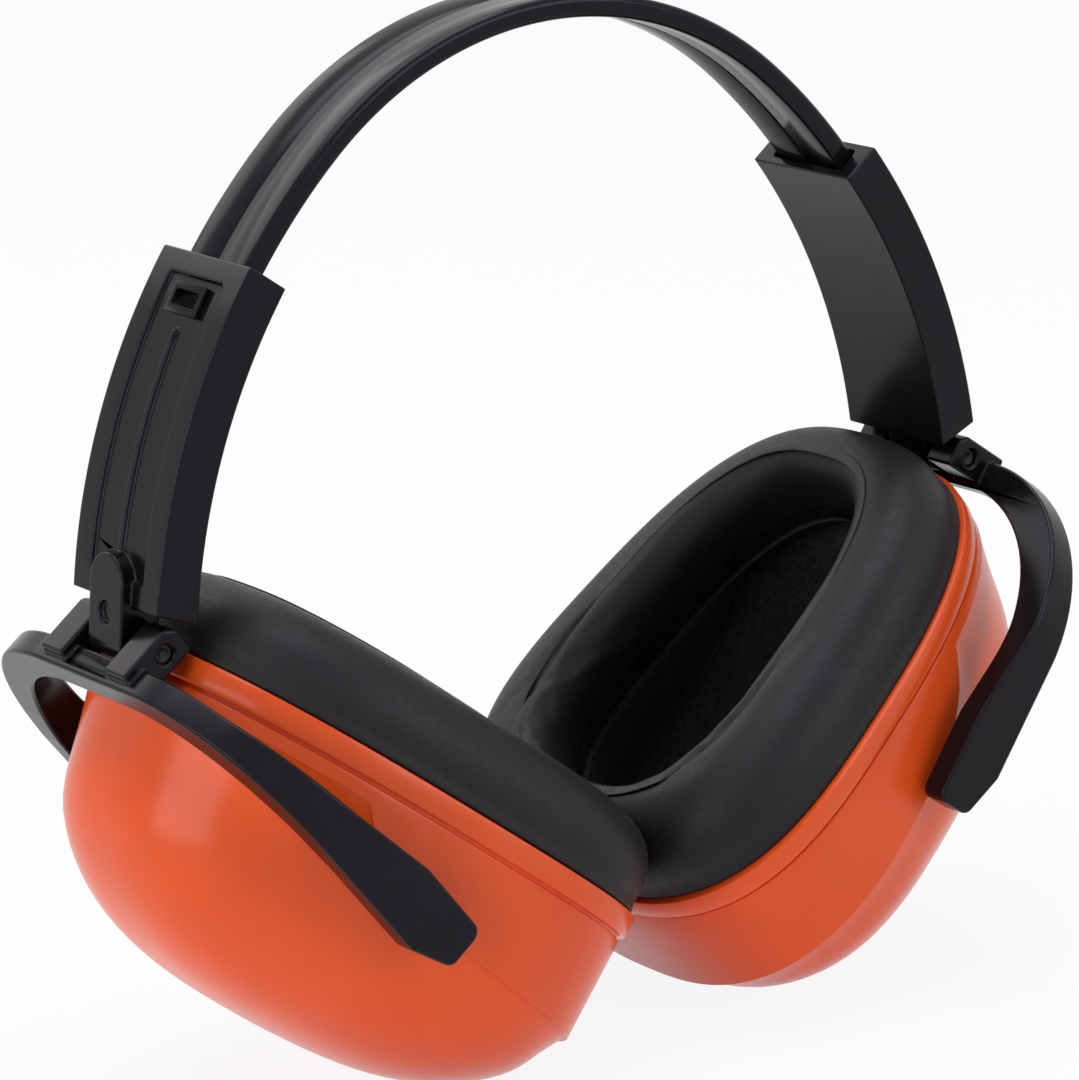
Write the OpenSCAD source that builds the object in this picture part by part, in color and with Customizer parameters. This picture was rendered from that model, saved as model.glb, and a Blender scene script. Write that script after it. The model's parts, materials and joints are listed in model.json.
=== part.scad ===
// Folding headband earmuff: a curved strip, two sliding arm sleeves, two hinged yokes and two cups
// with foam cushions. Millimetres. X runs from ear to ear (right is +X), the wearer looks along -Y,
// Z is up, and Z = 0 is the table under the cups. Everything is drawn for the right side and
// mirrored for the left.

/* [Headband] */
// Width of the band strip, front to back
band_width = 17; // [14:0.5:19]
// Thickness of the band strip
band_thick = 3.7; // [3:0.1:4.2]
// Radius of the middle line over the top of the head
crown_radius = 66.4; // [60:0.2:82]
// Half the angle that the crown arc covers
crown_angle = 41; // [38:1:43]
// Radius of the middle line down each side
side_radius = 106.6; // [100:0.2:130]
// Angle from the top at which the strip ends, inside the sleeve
band_end_angle = 70; // [66:1:73]
// Width of the fine groove along both faces of the strip
groove_width = 0.7; // [0.4:0.1:1.2]
// Depth of that groove
groove_depth = 0.35; // [0.2:0.05:0.5]

/* [Arm sleeves] */
// Width of a sleeve, front to back
sleeve_width = 25; // [23.5:0.5:30]
// Thickness of a sleeve
sleeve_thick = 7.6; // [7.4:0.1:9]
// Angle from the top at which the sleeve's mouth sits
mouth_angle = 53.4; // [52:0.2:55]
// Angle from the top at which the sleeve's foot ends
foot_angle = 83.6; // [83.2:0.2:86]
// Slope of the foot's end face, so that the hinge ears can swing below it
foot_slope = 16; // [12:1:18]
// Gap between the strip and the sleeve on every side
slide_gap = 0.3; // [0.15:0.05:0.4]
// Width of the shallow channel on the outer face
panel_width = 15; // [12:0.5:18]
// Depth of that channel
panel_depth = 0.6; // [0.3:0.1:0.8]
// Width of the rib along the middle of the channel
rib_width = 1.2; // [0.8:0.1:2]

/* [Height latch] */
// Width of the catch window, front to back
latch_width = 7; // [5:0.5:9]
// Height of the catch window along the sleeve
latch_height = 3.2; // [2.5:0.1:4]
// How far the window sits below the mouth
latch_drop = 6; // [4.5:0.5:9]
// How far the catch's frame stands out of the channel
latch_rise = 0.9; // [0.5:0.1:1.2]

/* [Fold hinge] */
// Radius of the hinge pin
pin_radius = 1.5; // [1.2:0.1:1.7]
// Distance of the pin below the foot, along the sleeve
pin_drop = 4; // [3.8:0.1:5]
// Distance of the pin outward from the sleeve's middle line
pin_out = 2; // [1.5:0.1:2.5]
// Width of the sleeve's tongue
tongue_width = 9.6; // [8:0.2:11]
// Radius of the tongue's round end
tongue_radius = 3.5; // [3:0.1:3.6]
// How far the tongue's pad rises above the pin on the outer face
tongue_rise = 14; // [11:0.5:18]
// Gap between the tongue and each ear
ear_gap = 1.4; // [0.5:0.1:2]
// Gap around the pin in the tongue's bore
pin_gap = 0.08; // [0.03:0.01:0.1]

/* [Yokes] */
// Outer width of the fork
yoke_width = 86; // [80:0.5:98]
// Wall of the fork
yoke_wall = 5; // [4:0.2:5.6]
// Outer radius of the fork's corners
yoke_corner = 30; // [24:1:34]
// Length from the hinge pin to the cup pivot
arm_length = 50; // [47:0.5:56]
// How far the paddle runs on past the cup pivot
paddle_tail = 8; // [6.5:0.5:10]
// Width of the paddle
paddle_width = 10.5; // [9:0.5:12]
// Radius of the cup pivot studs
stud_radius = 3; // [2.4:0.1:3.4]
// Gap around a stud in the cup's bore
stud_gap = 0.08; // [0.03:0.01:0.1]

/* [Cups] */
// Length of the rim oval, top to bottom
cup_length = 96.4; // [90:0.2:98]
// Width of the rim oval, front to back
cup_width = 74.4; // [66:0.2:75]
// Depth of the shell behind the rim
cup_depth = 44.7; // [40:0.1:56]
// Wall of the shell
cup_wall = 2.4; // [1.8:0.1:3]
// How much narrower the top is than the middle, as a share
cup_taper = 0.17; // [0.05:0.01:0.2]
// Tilt of the left cup against its yoke
left_tilt = 14.6; // [10:0.1:20]
// Tilt of the right cup against its yoke
right_tilt = 16; // [10:0.1:20]
// Height of the rim band
rim_band = 4; // [3:0.2:6]
// How far the rim band stands out
rim_step = 0.5; // [0.3:0.1:0.8]
// Width of the groove beside the rim band
rim_groove = 0.8; // [0.5:0.1:1.2]
// Height of the pivot above the middle of the cup
pivot_rise = 5.9; // [5:0.1:7]
// Depth of the pivot behind the rim
pivot_depth = 19.1; // [18:0.1:22]

/* [Cushions and foam] */
// Thickness of the cushion on its plate
cushion_thick = 13.5; // [10:0.5:17]
// Thickness of the seal plate
plate_thick = 2; // [1.5:0.1:2.5]
// Thickness of the cushion's skin
skin_thick = 0.8; // [0.5:0.1:1.2]
// Width of the cushion's roll above and below the ear opening
roll_ends = 15.2; // [14.2:0.2:20]
// Width of the cushion's roll in front of and behind the ear opening
roll_sides = 17.7; // [16.2:0.2:21]
// Thickness of the foam that lines the cup
liner_thick = 7; // [5:0.5:9]
// How far each cushion is squashed where the two meet
cushion_press = 2.1; // [0:0.1:3.4]
// How far right of the middle the two meet
meeting_x = 0.2; // [-2:0.1:2]
// Gap left between the two cushions there
cushion_gap = 0.6; // [0.4:0.1:2]

/* [Hidden] */
$fn = 96;
eps = 0.01;
far = 300;
oval_power = 2.8;
dome_power = 2.6;
dome_round = 2.75;
dome_taper = 0.2;
dome_start = 4;
slide_angle = 10;
dome_shift = 3.4;
dome_spare_length = 1.2;
dome_spare_width = 1.9;
least_crease = 7;
dome_step = 9;
press_share = 0.35;
oval_step = 6;
edge_chamfer = 0.5;

// The band: the side arcs meet the crown arc in one smooth line.
side_x = (crown_radius - side_radius) * sin(crown_angle);
side_z = (crown_radius - side_radius) * cos(crown_angle);
channel_thick = band_thick + 2 * slide_gap;
channel_width = band_width + 2 * slide_gap;
channel_end_angle = band_end_angle + slide_angle + 0.4;
sleeve_outer = side_radius + sleeve_thick / 2;
sleeve_inner = side_radius - sleeve_thick / 2;
panel_floor = sleeve_outer - panel_depth;

// The fold hinge, placed from the sleeve's foot.
foot_lean = foot_angle - 90;
pin_x = side_x + (side_radius + pin_out) * sin(foot_angle) + pin_drop * cos(foot_angle);
pin_z = side_z + (side_radius + pin_out) * cos(foot_angle) - pin_drop * sin(foot_angle);
ear_inner = tongue_width / 2 + ear_gap;
ear_outer = sleeve_width / 2;
ear_top = 3.1;
ear_bottom = 3;
ear_in = 3.9;
ear_out = 7.5;
ear_corner = 1.4;
bar_in = tongue_radius + 0.7;
bar_out = 9;
bar_top = 1.5;
bar_drop = 4;
fork_round = 2;
pin_recess = 0.8;

// The yoke's arms, in the yoke's own frame: x outward, z up from the pin.
pivot_out = 4.2;
tail_z = -arm_length - paddle_tail;
stud_reach = cup_width / 2 - 3.6;

// The cup, in its own frame: x is the depth behind the rim, y across, z up along the rim.
rim_half_length = cup_length / 2;
rim_half_width = cup_width / 2;
ear_half_length = rim_half_length - roll_ends;
ear_half_width = rim_half_width - roll_sides;
body_inset = rim_step;
skirt_gap = 0.2;
skirt_wall = 1.6;
skirt_depth = 5;
liner_gap = 0.3;
foam_gap = 0.15;
liner_start = skirt_depth + 0.5;
boss_radius = stud_radius + 2.4;
boss_floor = 2.4;
boss_in = stud_reach - boss_floor - 0.5;
plate_inset = 1.2;

// Rows across the cushion: share of its thickness, and how far its outline draws in there.
cushion_outer_rows = [[1, 11], [0.88, 7.6], [0.68, 4.6], [0.45, 2.4], [0.2, 1], [0, 0.8]];
cushion_inner_rows = [[0, 0.6], [0.4, 0], [0.66, 0.2], [0.88, 1.2], [1, 3.2]];

// A point of an oval that is narrower at the top, as [up, across].
function power_sign(value, power) = sign(value) * pow(abs(value), 2 / power);
function oval_point(angle, half_length, half_width, taper) =
    let (up = half_length * power_sign(cos(angle), oval_power))
    [up, half_width * (1 - taper * up / rim_half_length) * power_sign(sin(angle), oval_power)];
function rim_point(angle, inset) =
    oval_point(angle, rim_half_length - inset, rim_half_width - inset, cup_taper);
function rim_ring(depth, inset) =
    [for (angle = [0 : oval_step : 359]) let (point = rim_point(angle, inset)) [depth, point[1], point[0]]];
function ear_ring(depth, extra) =
    [for (angle = [0 : oval_step : 359])
        let (point = oval_point(angle, ear_half_length + extra, ear_half_width + extra, cup_taper))
        [depth, point[1], point[0]]];

// The dome: how far out a rim point lies on it, and its depth at a share of that reach.
function dome_share(point, inset) =
    let (half_length = rim_half_length + dome_spare_length - inset,
        half_width = (rim_half_width + dome_spare_width - inset)
            * (1 - dome_taper * point[0] / rim_half_length))
    pow(pow(abs((point[0] + dome_shift) / half_length), dome_power)
        + pow(abs(point[1] / half_width), dome_power), 1 / dome_power);
function dome_depth(share, inset) =
    (dome_start + cup_depth - inset) * pow(1 - pow(share, dome_round), 1 / dome_round) - dome_start;
function widest_share(inset) =
    pow(1 - pow((dome_start + least_crease) / (dome_start + cup_depth - inset), dome_round),
        1 / dome_round);
function dome_ring(shrink, inset) =
    [for (angle = [0 : oval_step : 359])
        let (point = rim_point(angle, inset), share = min(dome_share(point, inset), widest_share(inset)))
        [dome_depth(share * shrink, inset), point[1] * shrink,
            (point[0] + dome_shift) * shrink - dome_shift]];
function dome_rings(inset) = [for (turn = [0 : dome_step : 90 - dome_step]) dome_ring(cos(turn), inset)];

// Leans: each yoke closes until its cushion meets the other one. A row of the cushion gives way
// by no more than a share of its height above the plate.
function turned(point, angle) =
    [point[0] * cos(angle) + point[1] * sin(angle), point[1] * cos(angle) - point[0] * sin(angle)];
function tilt_of(side) = side > 0 ? right_tilt : left_tilt;
function from_cup(side, depth, up) =
    turned([depth - pivot_depth, up - pivot_rise], tilt_of(side)) + [pivot_out, -arm_length];
function row_press(row) = min(cushion_press, press_share * row[0] * cushion_thick);
function inmost_x(side, angle) =
    pin_x + min([for (row = cushion_outer_rows)
        let (low = from_cup(side, -plate_thick - row[0] * cushion_thick, row[1] - rim_half_length))
        turned(low, angle)[0] + row_press(row)]);
function meeting_angle(side, low, high, tries) =
    let (middle = (low + high) / 2)
    tries == 0 ? middle :
    inmost_x(side, middle) > cushion_gap / 2 + side * meeting_x ?
    meeting_angle(side, middle, high, tries - 1) :
    meeting_angle(side, low, middle, tries - 1);
left_lean = meeting_angle(-1, 0, 60, 24);
right_lean = meeting_angle(1, 0, 60, 24);
function lean_of(side) = side > 0 ? right_lean : left_lean;

// The crown's centre stands so high that the lower cup touches the table.
lowest_cup = min([for (side = [-1, 1]) for (level = dome_rings(body_inset)) for (point = level)
    turned(from_cup(side, point[0], point[2]), lean_of(side))[1]]);
crown_z = -pin_z - lowest_cup;

// Mirrors what is drawn for the right side onto the asked side.
module on_side(side)
{
    mirror([side < 0 ? 1 : 0, 0, 0]) children();
}

// Sweeps a profile (x outward, y across) along an arc about the crown's or a side's centre.
module swept_arc(centre_x, centre_z, from_angle, to_angle)
{
    translate([centre_x, 0, crown_z + centre_z])
    rotate([90, 0, 0])
    rotate_extrude(angle = to_angle - from_angle, start = 90 - to_angle) children();
}

module side_arc(from_angle, to_angle)
{
    swept_arc(side_x, side_z, from_angle, to_angle) children();
}

// A rectangle of the sweep, between two radii and across a width.
module sweep_box(inner, outer, width)
{
    translate([inner, -width / 2]) square([outer - inner, width]);
}

// The frames of the foot, the yoke and the cup.
module foot_frame()
{
    translate([pin_x, 0, crown_z + pin_z]) rotate([0, foot_lean, 0]) children();
}

module yoke_frame(side)
{
    translate([pin_x, 0, crown_z + pin_z]) rotate([0, lean_of(side), 0]) children();
}

module cup_frame(side)
{
    yoke_frame(side)
    translate([pivot_out, 0, -arm_length])
    rotate([0, tilt_of(side), 0])
    translate([-pivot_depth, 0, -pivot_rise]) children();
}

// A cylinder along Y, centred on the frame's origin.
module cross_rod(radius, length)
{
    rotate([90, 0, 0]) cylinder(r = radius, h = length, center = true);
}

// Extrudes a shape drawn in the frame's x and z across a width.
module across(width)
{
    rotate([90, 0, 0]) linear_extrude(width, center = true) children();
}

// Extrudes a shape drawn as [up, across] from one depth behind the rim to another.
module along_depth(from_depth, to_depth)
{
    translate([from_depth, 0, 0])
    rotate([0, 90, 0])
    linear_extrude(to_depth - from_depth) mirror([1, 0, 0]) children();
}

// A closed solid through rings of equal point count: capped at both ends, or joined end to end.
module skinned(rings, joined = false)
{
    count = len(rings[0]);
    levels = len(rings);
    spans = joined ? levels : levels - 1;
    sides = [for (level = [0 : spans - 1]) for (i = [0 : count - 1])
        let (next = (i + 1) % count, above = ((level + 1) % levels) * count, here = level * count)
        each [[here + i, here + next, above + next], [here + i, above + next, above + i]]];
    start_cap = [for (i = [count - 1 : -1 : 0]) i];
    end_cap = [for (i = [0 : count - 1]) (levels - 1) * count + i];
    polyhedron(points = [for (level = rings) each level],
        faces = joined ? sides : concat([start_cap], sides, [end_cap]));
}

module rim_oval(inset)
{
    polygon([for (angle = [0 : oval_step : 359]) rim_point(angle, inset)]);
}

module ear_oval(extra)
{
    polygon([for (point = ear_ring(0, extra)) [point[2], point[1]]]);
}

// The strip's profile at a radius, with chamfered edges and a fine groove along both faces.
module band_profile(radius, extra)
{
    half = (band_thick + extra) / 2;
    side = (band_width + extra) / 2;
    difference()
    {
        polygon([
            [radius - half, edge_chamfer - side],
            [radius - half + edge_chamfer, -side],
            [radius + half - edge_chamfer, -side],
            [radius + half, edge_chamfer - side],
            [radius + half, side - edge_chamfer],
            [radius + half - edge_chamfer, side],
            [radius - half + edge_chamfer, side],
            [radius - half, side - edge_chamfer]]);
        sweep_box(radius + half - groove_depth, radius + half + 1, groove_width + extra);
        sweep_box(radius - half - 1, radius - half + groove_depth, groove_width + extra);
    }
}

// The strip is a hair thicker over the head than down the sides, where the sleeves run.
module headband()
{
    crown_extra = 0.1;
    joint_overlap = 1;
    color("#1c1b20")
    union()
    {
        swept_arc(0, 0, -crown_angle, crown_angle) band_profile(crown_radius, crown_extra);
        for (side = [-1, 1])
            on_side(side)
            side_arc(crown_angle - joint_overlap, band_end_angle) band_profile(side_radius, 0);
    }
}

// The tongue below the foot, with its arched pad on the sleeve's outer face.
module tongue()
{
    foot_frame()
    {
        cross_rod(tongue_radius, tongue_width);
        intersection()
        {
            translate([-tongue_radius, -tongue_width / 2, 0])
            cube([2 * tongue_radius, tongue_width, tongue_rise]);
            rotate([90, 0, 90])
            linear_extrude(far, center = true)
            union()
            {
                translate([0, tongue_rise - tongue_width / 2]) circle(d = tongue_width);
                translate([-tongue_width / 2, 0])
                square([tongue_width, tongue_rise - tongue_width / 2]);
            }
        }
    }
}

// A block at the catch, standing between two radii of the sleeve.
module catch_block(inner, outer, extra)
{
    translate([side_x, 0, crown_z + side_z])
    rotate([0, mouth_angle + (latch_drop + latch_height / 2) / sleeve_outer * 180 / PI, 0])
    translate([-latch_height / 2 - extra, -latch_width / 2 - extra, inner])
    cube([latch_height + 2 * extra, latch_width + 2 * extra, outer - inner]);
}

module sleeve(side)
{
    panel_top = mouth_angle + 2;
    rib_top = mouth_angle + 6.5;
    dimple_radius = 1.8;
    dimple_depth = 0.8;
    color("#17161a")
    on_side(side)
    difference()
    {
        union()
        {
            difference()
            {
                side_arc(mouth_angle, foot_angle) sweep_box(sleeve_inner, sleeve_outer, sleeve_width);
                side_arc(panel_top, rib_top) sweep_box(panel_floor, sleeve_outer + 1, panel_width);
                for (half = [-1, 1])
                    side_arc(panel_top, channel_end_angle)
                    translate([panel_floor, half > 0 ? rib_width / 2 : -panel_width / 2])
                    square([sleeve_thick, (panel_width - rib_width) / 2]);
                foot_frame()
                translate([-sleeve_thick / 2 - pin_out, 0, pin_drop])
                rotate([0, -foot_slope, 0])
                translate([-far / 2, -far / 2, -far])
                cube(far);
            }
            tongue();
        }
        side_arc(mouth_angle - 1, channel_end_angle)
        sweep_box(side_radius - channel_thick / 2, side_radius + channel_thick / 2, channel_width);
        catch_block(side_radius, sleeve_outer + 1, 0);
        foot_frame() cross_rod(pin_radius + pin_gap, far);
        foot_frame()
        translate([tongue_radius - dimple_depth, 0, tongue_radius + 1])
        rotate([0, 90, 0]) cylinder(r = dimple_radius, h = sleeve_thick);
    }
}

// The catch: a plug in the window with a raised frame around a shallow dish.
module latch(side)
{
    frame_lip = 0.9;
    plug_gap = 0.1;
    dish_depth = 0.7;
    color("#242328")
    on_side(side)
    difference()
    {
        union()
        {
            catch_block(side_radius + channel_thick / 2, panel_floor, -plug_gap);
            catch_block(panel_floor, panel_floor + latch_rise, frame_lip);
        }
        catch_block(panel_floor + latch_rise - dish_depth, panel_floor + latch_rise + 1,
            -frame_lip / 2);
    }
}

module hinge_pin(side)
{
    color("#55555a")
    on_side(side)
    yoke_frame(side) cross_rod(pin_radius, 2 * (ear_outer - pin_recess));
}

// A shape with round corners near the hinge that runs on past the arms' ends.
module fork_outline(half_width, top, corner)
{
    hull()
    {
        for (half = [-1, 1])
            translate([top + corner, half * (half_width - corner)]) circle(r = corner);
        translate([far / 2, -half_width]) square([1, 2 * half_width]);
    }
}

// The fork from above: x along the arm from the hinge, y across. Its bends are thicker than its arms.
module fork_plan()
{
    difference()
    {
        fork_outline(yoke_width / 2, -bar_top, yoke_corner);
        fork_outline(yoke_width / 2 - yoke_wall, yoke_wall - bar_top, yoke_corner);
    }
}

// The fork from its side, as [outward, up]: slim at the hinge, a round-ended paddle at the pivot.
module fork_side()
{
    low = pivot_out - paddle_width / 2;
    high = pivot_out + paddle_width / 2;
    end_slant = 3;
    outer_bulge = 0.6;
    waist = 0.5;
    outer_waist = 0.55;
    paddle_start = 0.85;
    offset(r = fork_round) offset(delta = -fork_round)
    polygon([
        [bar_in, bar_top + 2 * fork_round],
        [bar_in, -bar_drop],
        [low + end_slant, -arm_length * waist],
        [low, -arm_length * paddle_start],
        [low, tail_z],
        [high - end_slant, tail_z],
        [high, -arm_length],
        [bar_out + outer_bulge, -arm_length * outer_waist],
        [bar_out, -bar_top],
        [bar_out, bar_top + 2 * fork_round]]);
}

module ear_side()
{
    polygon([
        [-ear_in, -ear_bottom],
        [-ear_in, ear_top - ear_corner],
        [ear_corner - ear_in, ear_top],
        [ear_out, ear_top],
        [ear_out, -ear_bottom]]);
}

module yoke(side)
{
    color("#1a191d")
    on_side(side)
    yoke_frame(side)
    difference()
    {
        union()
        {
            intersection()
            {
                rotate([0, 90, 0]) linear_extrude(far, center = true) fork_plan();
                across(far) fork_side();
            }
            for (half = [-1, 1])
            {
                translate([0, half * (ear_inner + ear_outer) / 2, 0])
                across(ear_outer - ear_inner) ear_side();
                translate([pivot_out, half * (yoke_width / 2 - yoke_wall + stud_reach) / 2, -arm_length])
                cross_rod(stud_radius, yoke_width / 2 - yoke_wall - stud_reach + eps);
            }
        }
        cross_rod(pin_radius, 2 * ear_outer + 1);
    }
}

module cup_shell(side)
{
    band_end = rim_band;
    groove_end = rim_band + rim_groove;
    groove_inset = 2 * rim_step;
    color("#e4571d")
    on_side(side)
    cup_frame(side)
    difference()
    {
        union()
        {
            difference()
            {
                skinned(concat([
                    rim_ring(0, 0),
                    rim_ring(band_end, 0),
                    rim_ring(band_end, groove_inset),
                    rim_ring(groove_end, groove_inset),
                    rim_ring(groove_end, body_inset)], dome_rings(body_inset)));
                skinned(concat([rim_ring(-1, cup_wall + body_inset)], dome_rings(cup_wall + body_inset)));
            }
            for (half = [-1, 1])
                translate([pivot_depth, half * (boss_in + rim_half_width - cup_wall) / 2, pivot_rise])
                cross_rod(boss_radius, rim_half_width - cup_wall - boss_in);
        }
        for (half = [-1, 1])
            translate([pivot_depth, half * (boss_in + boss_floor + rim_half_width) / 2, pivot_rise])
            cross_rod(stud_radius + stud_gap, rim_half_width - boss_in - boss_floor);
    }
}

module foam_liner(side)
{
    outside = cup_wall + body_inset + liner_gap;
    inside = outside + liner_thick;
    pocket_radius = boss_radius + 0.6;
    color("#202024")
    on_side(side)
    cup_frame(side)
    difference()
    {
        skinned(concat([rim_ring(liner_start, outside)], dome_rings(outside)));
        skinned(concat([rim_ring(liner_start - 1, inside)], dome_rings(inside)));
        for (half = [-1, 1])
            translate([pivot_depth, half * (boss_in - 1 + rim_half_width) / 2, pivot_rise])
            cross_rod(pocket_radius, rim_half_width - boss_in + 1);
    }
}

module seal_plate(side)
{
    skirt_inset = cup_wall + body_inset + skirt_gap;
    color("#121214")
    on_side(side)
    cup_frame(side)
    difference()
    {
        union()
        {
            along_depth(-plate_thick, 0) rim_oval(plate_inset);
            along_depth(-eps, skirt_depth) rim_oval(skirt_inset);
        }
        along_depth(-plate_thick - 1, 1) ear_oval(1);
        along_depth(0, skirt_depth + 1) rim_oval(skirt_inset + skirt_wall);
    }
}

// The cushion's rows as rings: down its outside to the plate, and up the ear opening to its face.
// Points that would reach the other cushion are pressed back to a flat patch.
function cushion_depth(row, skin) = -plate_thick - row[0] * (cushion_thick - skin);
function squashed(side, rings, skin) =
    let (angle = lean_of(side) + tilt_of(side), limit = cushion_gap / 2 + skin + side * meeting_x)
    [for (level = rings) [for (point = level)
        let (x = pin_x + turned(from_cup(side, point[0], point[2]), lean_of(side))[0],
            pressed = point + max(0, limit - x) * [cos(angle), 0, sin(angle)])
        [min(pressed[0], -plate_thick), pressed[1], pressed[2]]]];
function outer_rings(side, skin) = squashed(side,
    [for (row = cushion_outer_rows) rim_ring(cushion_depth(row, skin), row[1] + skin)], skin);
function inner_rings(side, skin) = squashed(side,
    [for (row = cushion_inner_rows) ear_ring(cushion_depth(row, skin), row[1] + skin)], skin);
function reversed(list) = [for (i = [len(list) - 1 : -1 : 0]) list[i]];

function shifted(level, depth) = [for (point = level) point + [depth, 0, 0]];

module cushion_foam(side)
{
    inset = skin_thick + foam_gap;
    core = -5;
    opening = reversed(inner_rings(side, inset));
    color("#3a3a3c")
    on_side(side)
    cup_frame(side)
    difference()
    {
        skinned(concat([ear_ring(cushion_depth([1], inset), core)], outer_rings(side, inset)));
        skinned(concat([shifted(opening[0], -1)], opening, [shifted(opening[len(opening) - 1], 1)]));
    }
}

module cushion_cover(side)
{
    color("#141416")
    on_side(side)
    cup_frame(side)
    skinned(concat(outer_rings(side, 0), reversed(outer_rings(side, skin_thick)),
        reversed(inner_rings(side, skin_thick)), inner_rings(side, 0)), joined = true);
}

headband();
sleeve(-1);  // left_sleeve
sleeve(1);  // right_sleeve
latch(-1);  // left_latch
latch(1);  // right_latch
hinge_pin(-1);  // left_hinge_pin
hinge_pin(1);  // right_hinge_pin
yoke(-1);  // left_yoke
yoke(1);  // right_yoke
cup_shell(-1);  // left_cup_shell
cup_shell(1);  // right_cup_shell
foam_liner(-1);  // left_foam_liner
foam_liner(1);  // right_foam_liner
seal_plate(-1);  // left_seal_plate
seal_plate(1);  // right_seal_plate
cushion_foam(-1);  // left_cushion_foam
cushion_foam(1);  // right_cushion_foam
cushion_cover(-1);  // left_cushion_cover
cushion_cover(1);  // right_cushion_cover
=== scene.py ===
import json
import math
import bpy
from mathutils import Matrix, Vector
from mathutils.kdtree import KDTree


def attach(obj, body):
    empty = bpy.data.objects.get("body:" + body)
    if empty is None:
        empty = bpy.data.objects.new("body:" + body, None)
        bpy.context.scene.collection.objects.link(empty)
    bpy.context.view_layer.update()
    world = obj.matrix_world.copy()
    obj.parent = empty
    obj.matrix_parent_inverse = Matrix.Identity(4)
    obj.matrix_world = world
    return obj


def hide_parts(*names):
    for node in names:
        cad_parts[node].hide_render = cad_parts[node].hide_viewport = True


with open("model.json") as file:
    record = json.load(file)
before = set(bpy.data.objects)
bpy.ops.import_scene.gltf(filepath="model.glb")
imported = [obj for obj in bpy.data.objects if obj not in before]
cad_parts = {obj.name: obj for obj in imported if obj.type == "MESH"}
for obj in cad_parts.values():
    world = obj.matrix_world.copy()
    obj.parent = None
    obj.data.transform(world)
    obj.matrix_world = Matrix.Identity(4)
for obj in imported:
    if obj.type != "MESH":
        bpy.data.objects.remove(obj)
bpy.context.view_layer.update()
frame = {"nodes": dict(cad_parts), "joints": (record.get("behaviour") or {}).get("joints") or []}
print("frame loaded")

sideSigns = {"left": -1, "right": 1}
mergeDistance = 1e-6


# picking objects and parts of meshes
def deselectAll():
    if bpy.context.object and bpy.context.object.mode != "OBJECT":
        bpy.ops.object.mode_set(mode="OBJECT")
    bpy.ops.object.select_all(action="DESELECT")


def activate(piece):
    deselectAll()
    piece.select_set(True)
    bpy.context.view_layer.objects.active = piece


def selectFaces(piece, wanted):
    bpy.ops.object.mode_set(mode="EDIT")
    bpy.ops.mesh.select_mode(type="FACE")
    bpy.ops.mesh.select_all(action="DESELECT")
    bpy.ops.object.mode_set(mode="OBJECT")
    for face in piece.data.polygons:
        face.select = wanted(face)
    bpy.ops.object.mode_set(mode="EDIT")


def selectPoints(piece, wanted):
    bpy.ops.object.mode_set(mode="EDIT")
    bpy.ops.mesh.select_mode(type="VERT")
    bpy.ops.mesh.select_all(action="DESELECT")
    bpy.ops.object.mode_set(mode="OBJECT")
    for point in piece.data.vertices:
        point.select = wanted(point.co)
    bpy.ops.object.mode_set(mode="EDIT")


def applyAll(piece):
    activate(piece)
    for modifier in list(piece.modifiers):
        bpy.ops.object.modifier_apply(modifier=modifier.name)


def roundEdges(piece, width, segments, angle=30):
    bevel = piece.modifiers.new("roundedEdges", "BEVEL")
    bevel.width = width
    bevel.segments = segments
    bevel.limit_method = "ANGLE"
    bevel.angle_limit = math.radians(angle)
    bevel.use_clamp_overlap = False
    bevel.miter_outer = "MITER_ARC"
    applyAll(piece)


# merges the points and drops the faces without area that a bevel leaves on short edges
def dropSlivers(piece):
    activate(piece)
    bpy.ops.object.mode_set(mode="EDIT")
    bpy.ops.mesh.select_all(action="SELECT")
    bpy.ops.mesh.remove_doubles(threshold=mergeDistance)
    bpy.ops.mesh.dissolve_degenerate(threshold=mergeDistance)
    bpy.ops.object.mode_set(mode="OBJECT")


def smoothByAngle(piece, angle):
    activate(piece)
    bpy.ops.object.shade_smooth_by_angle(angle=math.radians(angle))


def evenNormals(piece):
    weighted = piece.modifiers.new("evenNormals", "WEIGHTED_NORMAL")
    weighted.keep_sharp = True
    weighted.weight = 80
    applyAll(piece)


# a copy of a CAD node with its loose triangles joined into whole faces
def copyNode(nodeName, pieceName):
    mesh = frame["nodes"][nodeName].data.copy()
    mesh.materials.clear()
    piece = bpy.data.objects.new(pieceName, mesh)
    bpy.context.scene.collection.objects.link(piece)
    activate(piece)
    bpy.ops.mesh.customdata_custom_splitnormals_clear()
    bpy.ops.object.mode_set(mode="EDIT")
    bpy.ops.mesh.select_all(action="SELECT")
    bpy.ops.mesh.remove_doubles(threshold=mergeDistance)
    bpy.ops.mesh.dissolve_limited(angle_limit=math.radians(0.4))
    bpy.ops.object.mode_set(mode="OBJECT")
    return piece


# a flat grid bent round through rings of points, with its seam and poles closed
def gridThroughRings(name, columns, rings, loops=False):
    deselectAll()
    levels = len(rings)
    rows = levels if loops else levels - 1
    bpy.ops.mesh.primitive_grid_add(x_subdivisions=columns, y_subdivisions=rows, size=1)
    piece = bpy.context.object
    piece.name = name
    for point in piece.data.vertices:
        column = round((point.co.x + 0.5) * columns) % columns
        row = round((point.co.y + 0.5) * rows) % levels
        point.co = rings[row][column]
    bpy.ops.object.mode_set(mode="EDIT")
    bpy.ops.mesh.select_all(action="SELECT")
    bpy.ops.mesh.remove_doubles(threshold=mergeDistance)
    bpy.ops.mesh.normals_make_consistent(inside=False)
    bpy.ops.object.mode_set(mode="OBJECT")
    return piece


def jointPlace(name):
    joint = [joint for joint in frame["joints"] if joint["name"] == name][0]
    return Vector(joint["pos_m"])


def giveMaterial(piece, material):
    piece.data.materials.clear()
    piece.data.materials.append(material)


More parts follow.
